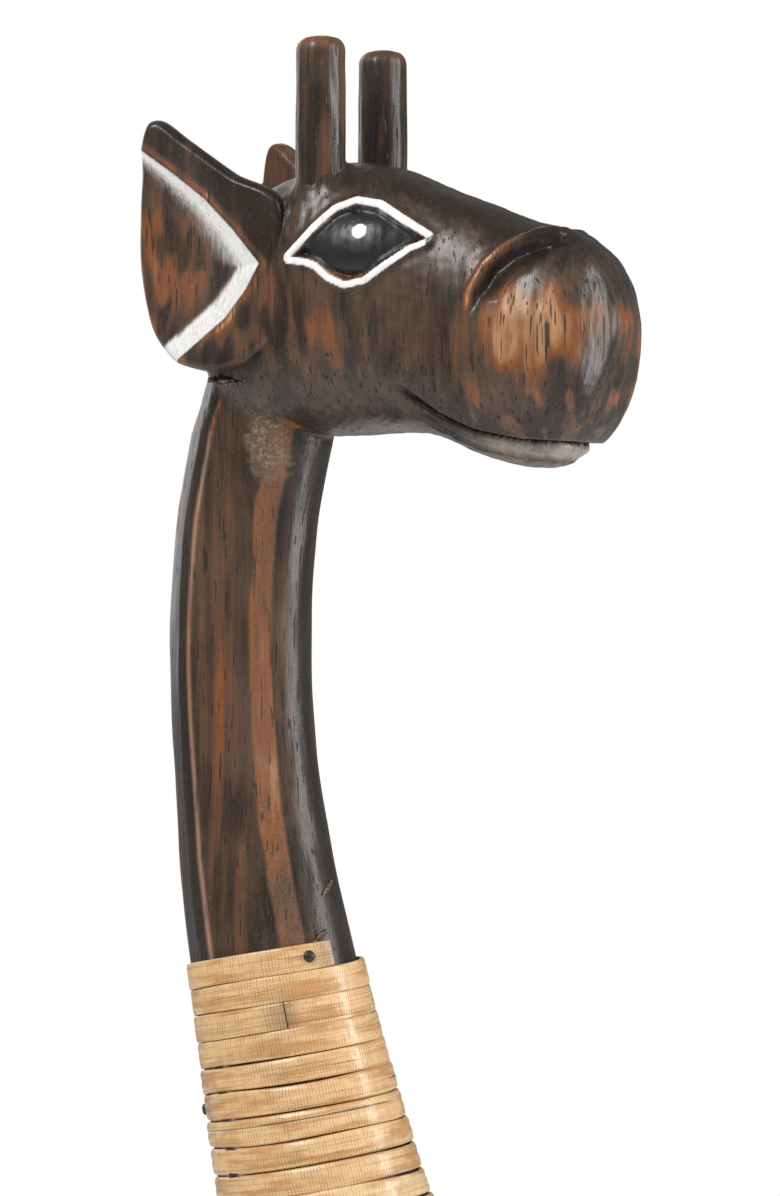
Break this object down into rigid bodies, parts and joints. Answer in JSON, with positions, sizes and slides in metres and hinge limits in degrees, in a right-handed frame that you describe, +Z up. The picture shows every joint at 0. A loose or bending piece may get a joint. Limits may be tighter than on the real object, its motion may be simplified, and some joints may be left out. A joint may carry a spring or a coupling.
{
  "type": "carved giraffe statue",
  "caption": "Standing giraffe carved from blocks of wood, with plug-in horns and ears and a neck bound with flat rattan strips.",
  "frame": {"origin": "on the floor, under the middle of the statue's bounding box", "axes": "+Z up, +X the way the giraffe faces, +Y its left side"},
  "size_m": [0.2936, 0.1078, 1],
  "materials": {
    "stained_wood": "dark stained, waxed, worn to tan on raised parts",
    "dowel_wood": "plain turned hardwood, glued",
    "rattan": "split rattan, natural gloss",
    "iron_tack": "blackened small nails"
  },
  "bodies": {
    "root": {"ear_left": "stained_wood", "ear_pegs": "dowel_wood", "ear_right": "stained_wood", "foreleg_left": "stained_wood", "foreleg_right": "stained_wood", "head": "stained_wood", "head_dowel": "dowel_wood", "hindleg_left": "stained_wood", "hindleg_right": "stained_wood", "horn_left": "stained_wood", "horn_right": "stained_wood", "leg_dowels": "dowel_wood", "neck": "stained_wood", "neck_dowel": "dowel_wood", "rattan_strip_1": "rattan", "rattan_strip_2": "rattan", "rattan_strip_3": "rattan", "rattan_strip_4": "rattan", "rattan_strip_5": "rattan", "strip_tacks": "iron_tack", "tail": "stained_wood", "torso": "stained_wood"}
  },
  "joints": []
}
